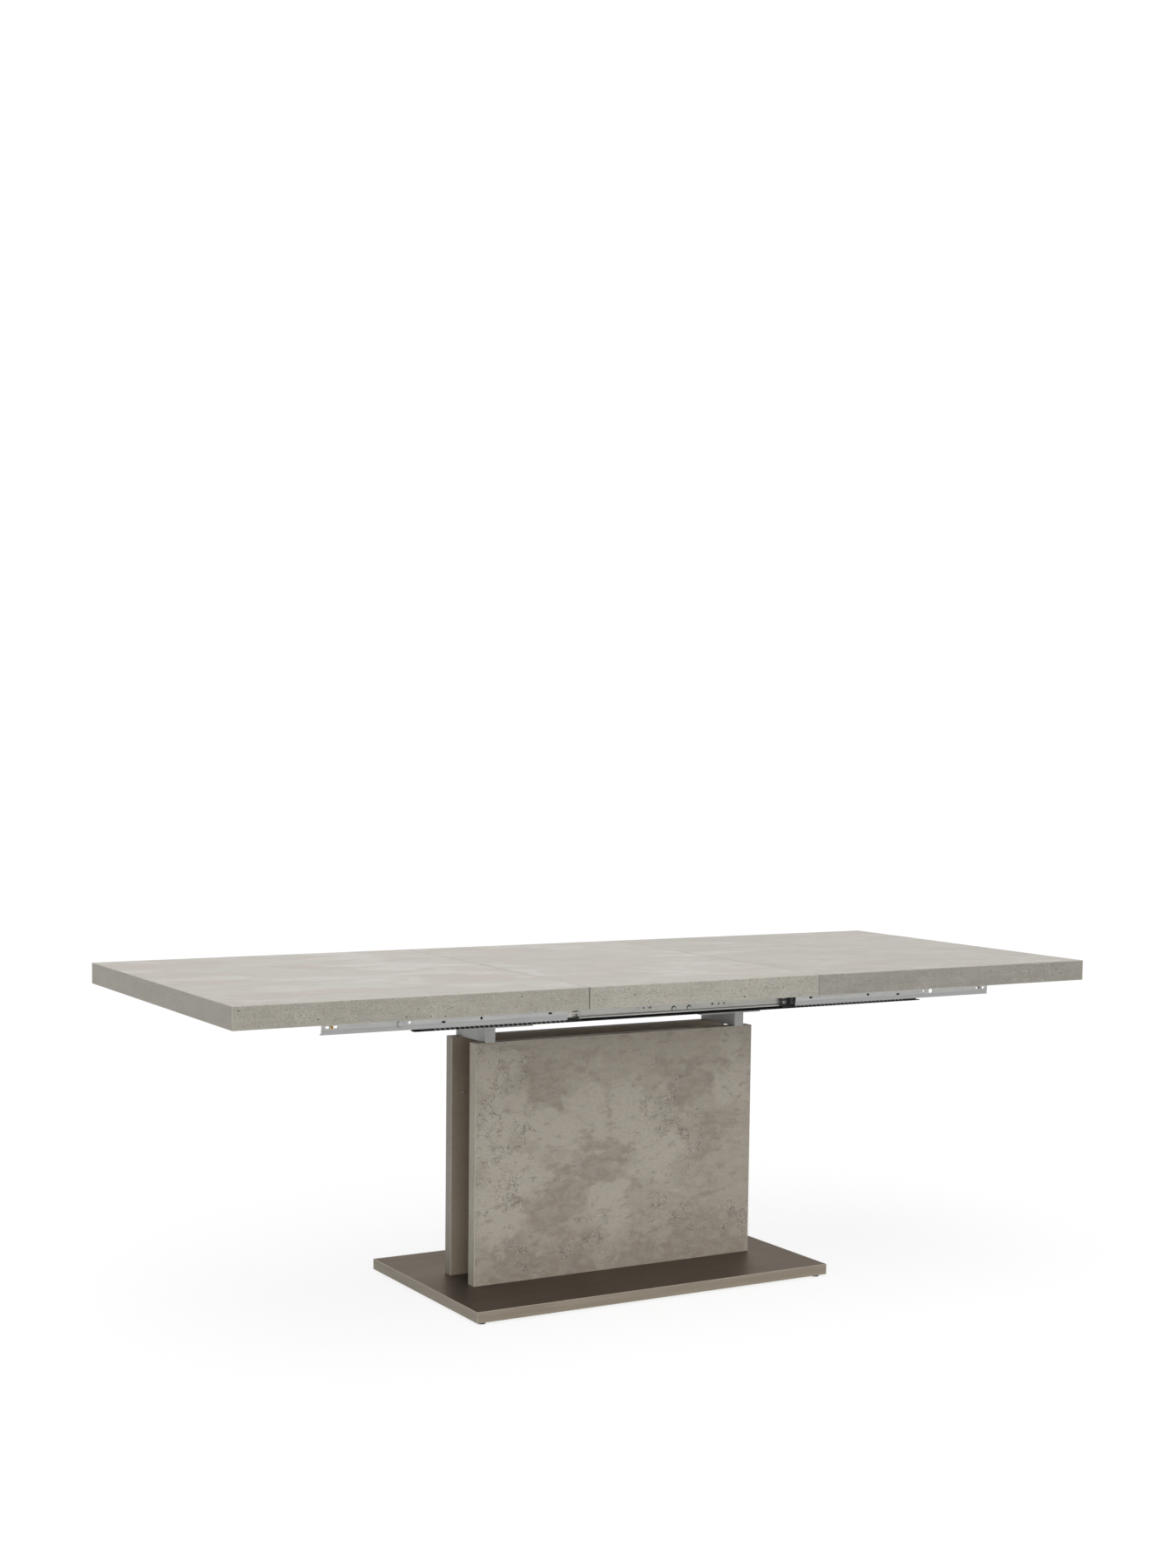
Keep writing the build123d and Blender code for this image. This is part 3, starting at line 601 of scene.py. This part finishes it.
# Stop screws: pan head screws in the end slots of the runners, which hold the stop nuts for the ball
# cages. The left ones are plated in yellow zinc, with a rosy film in places and a painted shade for a
# recess at the middle of each head.

yellow_zinc_gold = (0.66, 0.55, 0.19)
yellow_zinc_rose = (0.60, 0.41, 0.22)
yellow_zinc_roughness = (0.25, 0.38)
recess_shade = (0.030, 0.022, 0.012)
recess_radius = 0.0024
stop_low, stop_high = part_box("left_cage_stop_screws")
stop_middle = (stop_low + stop_high) / 2
yellow_zinc, tree, shader = new_material("yellow_zinc", {"Metallic": 1.0})
place = place_on(tree)
film = cloud(tree, place, (0.004, 0.004, 0.004))
from_axis = away_from(tree, place, stop_middle.x, stop_middle.z)
tone = mix(tree, film, yellow_zinc_gold, yellow_zinc_rose)
# A dark spot at the middle of each head: painted shade of a recess.
tone = mix(tree, ramp(tree, from_axis, recess_radius, recess_radius / 2), tone, recess_shade)
finish_with(tree, shader, tone, span(tree, film, *yellow_zinc_roughness))
dress(yellow_zinc, "left_cage_stop_screws")
dress(zinc_turned, "right_cage_stop_screws")


# Ball cages: black plastic strips with a notch for each ball and an open clip at the inner end. The
# clips of the left cages are painted pale grey as painted light, while the same clips on the right stay
# black; a thin outline round them stays black.

clip_painted_light = (0.80, 0.78, 0.71)
clip_length = 0.035
clip_foot = 0.0066
clip_outline = 0.0018
for row in ("front", "rear"):
    dress(black_plastic, "right_" + row + "_cage")
    node = "left_" + row + "_cage"
    cage_low, cage_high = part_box(node)
    made, tree, shader = new_material(node + "_plastic", {"IOR": 1.5})
    place = place_on(tree)
    tone, grained = moulded_black(tree, place)
    spot = axes_of(tree, place)
    # Pale clip on the left cages only: painted light, inside a thin black outline.
    inner = ramp(tree, spot["X"], cage_high.x - clip_length, cage_high.x - clip_length + clip_outline)
    rim = ramp(tree, spot["X"], cage_high.x, cage_high.x - clip_outline)
    foot = ramp(tree, spot["Z"], cage_low.z + clip_foot, cage_low.z + clip_foot + clip_outline)
    head = ramp(tree, spot["Z"], cage_high.z, cage_high.z - clip_outline)
    clip = calc(tree, "MINIMUM", calc(tree, "MINIMUM", inner, rim), calc(tree, "MINIMUM", foot, head))
    tone = mix(tree, clip, tone, clip_painted_light)
    finish_with(tree, shader, tone, span(tree, grained, *plastic_roughness), grained, plastic_relief)
    dress(made, node)


# Balls: ground and polished steel, loose in the notches of the cages, between the rail and the runner.
# A film of grease dulls them in places.

ball_bright = (0.96, 0.96, 0.95)
ball_greased = (0.82, 0.81, 0.79)
ball_roughness = (0.15, 0.35)
ball_steel, tree, shader = new_material("ball_steel", {"Metallic": 1.0})
film = cloud(tree, place_on(tree), (0.0015, 0.0015, 0.0015), low=0.5, high=0.7)
finish_with(tree, shader, mix(tree, film, ball_bright, ball_greased), span(tree, film, *ball_roughness))
dress(ball_steel, "left_balls", "right_balls")


# Top: two halves and a leaf, boards faced with a pale concrete-look laminate. Soft clouds and thin
# trowel streaks run along the length. The underside has a plain balancing sheet.

top_grey = (0.498, 0.478, 0.438)
top_warm = (0.482, 0.434, 0.393)
top_pale = (0.580, 0.562, 0.523)
top_streak = (0.405, 0.380, 0.345)
under_sheet = (0.50, 0.485, 0.455)
top_roughness = (0.50, 0.60)
top_relief = 0.00003


def top_finish(node, offset, pale_share, dull_share):
    """The laminate of one board, with its own share of pale and of dull clouds."""
    made, tree, shader = new_material(node + "_laminate", {"IOR": 1.5, "Specular IOR Level": 0.3})
    low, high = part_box(node)
    slant = (0.0, 0.0, radians(8))
    place = place_on(tree, offset, slant)
    far_place = place_on(tree, (offset[0] + 5, offset[1] + 2, 0), slant)
    warm = cloud(tree, place, (0.22, 0.13, 0.2), low=0.40, high=0.60, rough=0.6)
    pale = cloud(tree, far_place, (0.20, 0.10, 0.1), low=0.48, high=0.66, rough=0.62)
    dull_place = place_on(tree, (offset[0] + 9, offset[1] + 7, 0), slant)
    dull = cloud(tree, dull_place, (0.15, 0.07, 0.1), low=0.25, high=0.70, rough=0.6)
    streak = cloud(tree, far_place, (0.16, 0.018, 0.02), low=0.52, high=0.72, rough=0.6)
    grain = cloud(tree, place, (0.040, 0.009, 0.009), low=0.38, high=0.62, rough=0.65)
    tone = mix(tree, warm, top_grey, top_warm)
    tone = mix(tree, part_of(tree, pale, pale_share), tone, top_pale)
    tone = mix(tree, part_of(tree, dull, dull_share), tone, top_streak)
    tone = mix(tree, part_of(tree, streak, 0.45), tone, top_streak)
    tone = mix(tree, part_of(tree, grain, 0.24), tone, top_streak)
    dents = pitted(tree, place, spacing=0.06, radius=0.0016, share=0.4)
    tone = mix(tree, part_of(tree, dents, 0.5), tone, column_brown)
    level = axes_of(tree, place_on(tree))["Z"]
    under = ramp(tree, level, (low.z + high.z) / 2, low.z)
    tone = mix(tree, under, tone, under_sheet)
    finish_with(tree, shader, tone, span(tree, grain, *top_roughness), grain, top_relief)
    dress(made, node)


top_finish("left_top", offset=(0.0, 0.0, 0.0), pale_share=0.9, dull_share=0.05)
top_finish("leaf", offset=(1.7, 3.1, 0.0), pale_share=0.9, dull_share=0.28)
top_finish("right_top", offset=(6.6, 8.3, 0.0), pale_share=0.7, dull_share=0.80)


# Edge bands of the top: strips in a darker, greener print with fine streaks, speckle and small dark
# pits, ironed on and rounded. Each board has its own roll of band, so the tones differ a little, and
# dirt has gathered in the joints.

edge_pit = (0.075, 0.068, 0.055)
edge_rim = (0.56, 0.54, 0.48)
edge_roughness = (0.46, 0.58)
edge_relief = 0.0002
edge_wear = 0.0022
band_thickness = 0.002
pit_spacing = 0.015
pit_radius = 0.0036
rim_radius = 0.0060
pit_share = 0.6


def band_finish(node, offset, tone_dark, tone_light, speckled, joint_dirt, pitted_spots):
    """The print of one board's bands in two tones, with its own speckle, joint dirt and pitted spots."""
    made, tree, shader = new_material(node + "_print", {"IOR": 1.5, "Specular IOR Level": 0.35})
    place = place_on(tree, offset)
    low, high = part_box(node)
    end = max(abs(low.x), abs(high.x))
    joint = min(abs(low.x), abs(high.x))
    spot = axes_of(tree, place_on(tree))
    along = calc(tree, "ABSOLUTE", spot["X"])
    across = calc(tree, "ABSOLUTE", spot["Y"])
    at_end = ramp(tree, along, end - 2 * band_thickness, end - band_thickness)
    at_joint = ramp(tree, along, joint + band_thickness, joint + band_thickness / 2)
    at_side = ramp(tree, across, high.y - 2 * band_thickness, high.y - band_thickness)
    on_top = ramp(tree, spot["Z"], high.z - band_thickness, high.z - band_thickness / 2)
    at_middle = ramp(tree, across, high.y / 2, high.y / 4)
    in_joint = part_of(tree, at_joint, calc(tree, "MAXIMUM", at_side, part_of(tree, on_top, at_middle)))
    drift = cloud(tree, place, (0.10, 0.10, 0.03), low=0.35, high=0.65)
    far_place = place_on(tree, (offset[0] + 3, 0, 0))
    rosy = cloud(tree, far_place, (0.030, 0.030, 0.010), low=0.46, high=0.60, rough=0.35)
    streak = cloud(tree, place, (0.06, 0.06, 0.0030), low=0.30, high=0.70, rough=0.6)
    speckle = cloud(tree, place, (0.0060, 0.0060, 0.0030), low=0.44, high=0.58, rough=0.6)
    gathered = cloud(tree, place, (0.045, 0.045, 0.012), low=0.40, high=0.60, rough=0.6)
    speckle = part_of(tree, speckle, span(tree, gathered, 0.65, 1.35))
    ragged = add(tree, "TexNoise", {"Vector": place, "Scale": 30.0, "Detail": 5.0}).outputs["Fac"]
    cover = stained(tree, place_on(tree), ragged, pitted_spots)
    flecks = gritty(tree, place, grain=0.010, cover=span(tree, cover, 0.5, 1.0))["Flecks"]
    dents = pitted(tree, place, pit_spacing, pit_radius, pit_share)
    dents = part_of(tree, dents, span(tree, cover, 0.45, 1.0))
    rims = part_of(tree, pitted(tree, place, pit_spacing, rim_radius, pit_share), cover)
    tone = mix(tree, span(tree, drift, 0.2, 0.8), tone_dark, tone_light)
    tone = tint(tree, part_of(tree, rosy, 0.6), tone, rosy_hue)
    tone = mix(tree, part_of(tree, streak, 0.6), tone, tone_light)
    tone = mix(tree, part_of(tree, speckle, span(tree, at_end, speckled, 0.09)), tone, edge_pit)
    tone = mix(tree, part_of(tree, flecks, span(tree, at_end, 0.55, 0.15)), tone, edge_rim)
    tone = mix(tree, part_of(tree, rims, 0.4), tone, edge_rim)
    tone = mix(tree, part_of(tree, dents, 0.85), tone, edge_pit)
    tone = mix(tree, part_of(tree, rubbed(tree, node, edge_wear), 0.45), tone, edge_rim)
    tone = mix(tree, part_of(tree, in_joint, joint_dirt), tone, edge_pit)
    height = calc(tree, "SUBTRACT", part_of(tree, speckle, 0.3), dents)
    finish_with(tree, shader, tone, span(tree, streak, *edge_roughness), height, edge_relief)
    dress(made, node)


band_finish(
    "left_top_bands", offset=(0.0, 0.0, 0.0), tone_dark=(0.319, 0.304, 0.261),
    tone_light=(0.394, 0.376, 0.328), speckled=0.20, joint_dirt=0.75,
    pitted_spots=((-1.04, 0.735, 0.10), (-0.95, 0.735, 0.08), (-0.83, 0.73, 0.08), (-0.64, 0.735, 0.09)))
band_finish(
    "leaf_bands", offset=(2.1, 0.0, 0.4), tone_dark=(0.364, 0.351, 0.304),
    tone_light=(0.440, 0.424, 0.373), speckled=0.25, joint_dirt=0.0,
    pitted_spots=((-0.20, 0.735, 0.10), (0.09, 0.73, 0.12)))
band_finish(
    "right_top_bands", offset=(5.2, 0.0, 0.8), tone_dark=(0.268, 0.256, 0.224),
    tone_light=(0.330, 0.316, 0.280), speckled=0.17, joint_dirt=0.25,
    pitted_spots=((0.37, 0.735, 0.08), (0.62, 0.73, 0.10), (0.93, 0.735, 0.10)))


# Felt pads and pegs of the leaf: pressed grey felt discs glued to its underside, and two turned
# beech pegs that drop into the centre strut.

felt_dark = (0.20, 0.20, 0.20)
felt_light = (0.33, 0.33, 0.32)
felt_roughness = (0.9, 1.0)
felt_relief = 0.0003
grey_felt, tree, shader = new_material("grey_felt", {"Sheen Weight": 0.4, "Specular IOR Level": 0.1})
place = place_on(tree)
fibre = cloud(tree, place, (0.0012, 0.0004, 0.0004), low=0.35, high=0.65)
tone = mix(tree, fibre, felt_dark, felt_light)
finish_with(tree, shader, tone, span(tree, fibre, *felt_roughness), fibre, felt_relief)
dress(grey_felt, "leaf_pads")

beech_pale = (0.62, 0.43, 0.27)
beech_dark = (0.47, 0.29, 0.16)
beech_roughness = (0.5, 0.65)
beech_relief = 0.0001
beech, tree, shader = new_material("beech", {"Specular IOR Level": 0.3})
place = place_on(tree)
grain = cloud(tree, place, (0.0012, 0.0012, 0.02), low=0.4, high=0.65)
tone = mix(tree, grain, beech_pale, beech_dark)
finish_with(tree, shader, tone, span(tree, grain, *beech_roughness), grain, beech_relief)
dress(beech, "leaf_pegs")


# Floor: one pale sheet that runs out to the horizon. It is white to the eye and in reflections, keeps
# the soft shadow of the table, and throws light back up as a pale floor does. From below it is clear.

floor_size = 60.0
floor_pale = (0.62, 0.62, 0.62)
floor_seen = (0.17, 0.17, 0.17)
floor_lift = 0.85
floor_shape = bmesh.new()
bmesh.ops.create_grid(floor_shape, x_segments=1, y_segments=1, size=floor_size)
floor_mesh = bpy.data.meshes.new("floor")
floor_shape.to_mesh(floor_mesh)
floor_shape.free()
floor = bpy.data.objects.new("floor", floor_mesh)
bpy.context.scene.collection.objects.link(floor)


def seen_ray(tree):
    """1 for rays from the camera, from a gloss or through glass, and 0 for soft bounced light."""
    path = add(tree, "LightPath", {}).outputs
    seen = calc(tree, "MAXIMUM", path["Is Camera Ray"], path["Is Glossy Ray"])
    return calc(tree, "MAXIMUM", seen, path["Is Transmission Ray"])


floor_sheet, tree, shader = new_material(
    "floor_sheet", {"Roughness": 1.0, "Specular IOR Level": 0.0, "Emission Color": (1.0, 1.0, 1.0, 1.0)})
seen = seen_ray(tree)
tree.links.new(mix(tree, seen, floor_pale, floor_seen), shader.inputs["Base Color"])
tree.links.new(part_of(tree, seen, floor_lift), shader.inputs["Emission Strength"])
from_below = add(tree, "NewGeometry", {}).outputs["Backfacing"]
tree.links.new(calc(tree, "SUBTRACT", 1.0, from_below), shader.inputs["Alpha"])
floor_mesh.materials.append(floor_sheet)


# Light: a white studio, with a wide soft light overhead, a lower one from the front and an even
# glow all round, at a level where colours show as they are.

ambient = 0.36
world = bpy.data.worlds.new("studio")
bpy.context.scene.world = world
world.use_nodes = True
backdrop = world.node_tree.nodes["Background"]
backdrop.inputs["Color"].default_value = (1.0, 1.0, 1.0, 1.0)
world.node_tree.links.new(
    span(world.node_tree, seen_ray(world.node_tree), ambient, 1.0), backdrop.inputs["Strength"])


def studio_light(name, toward, level, spread):
    """A soft light at a great distance; level 1 lights a facing surface to its own colour."""
    lamp = bpy.data.lights.new(name, "SUN")
    lamp.energy = level * pi
    lamp.angle = radians(spread)
    made = bpy.data.objects.new(name, lamp)
    made.rotation_euler = Vector(toward).to_track_quat("Z", "Y").to_euler()
    bpy.context.scene.collection.objects.link(made)


studio_light("overhead_light", toward=(-0.20, -0.10, 0.97), level=0.46, spread=70)
studio_light("front_light", toward=(-0.20, -0.88, 0.42), level=0.42, spread=60)


# Camera: stands to the left of the table's front, a little above the top, and looks slightly down.
# Its lens and place are those that fit the straight edges of the table.

photo_height = 1800
focal_pixels = 2423.9
centre_line_pixel = 1048.9
sensor = 36.0
camera_place = (-2.547004, -4.291236, 1.265071)
turn, tilt, roll = radians(-30.246), radians(90 - 4.547), radians(0.686)
camera_data = bpy.data.cameras.new("camera")
camera_data.sensor_width = sensor
camera_data.lens = focal_pixels / photo_height * sensor
camera_data.shift_y = (centre_line_pixel - photo_height / 2) / photo_height
camera = bpy.data.objects.new("camera", camera_data)
camera.matrix_world = (
    Matrix.Translation(camera_place) @ Matrix.Rotation(turn, 4, "Z")
    @ Matrix.Rotation(tilt, 4, "X") @ Matrix.Rotation(roll, 4, "Z"))
bpy.context.scene.collection.objects.link(camera)
bpy.context.scene.camera = camera
bpy.context.scene.view_settings.view_transform = "Standard"
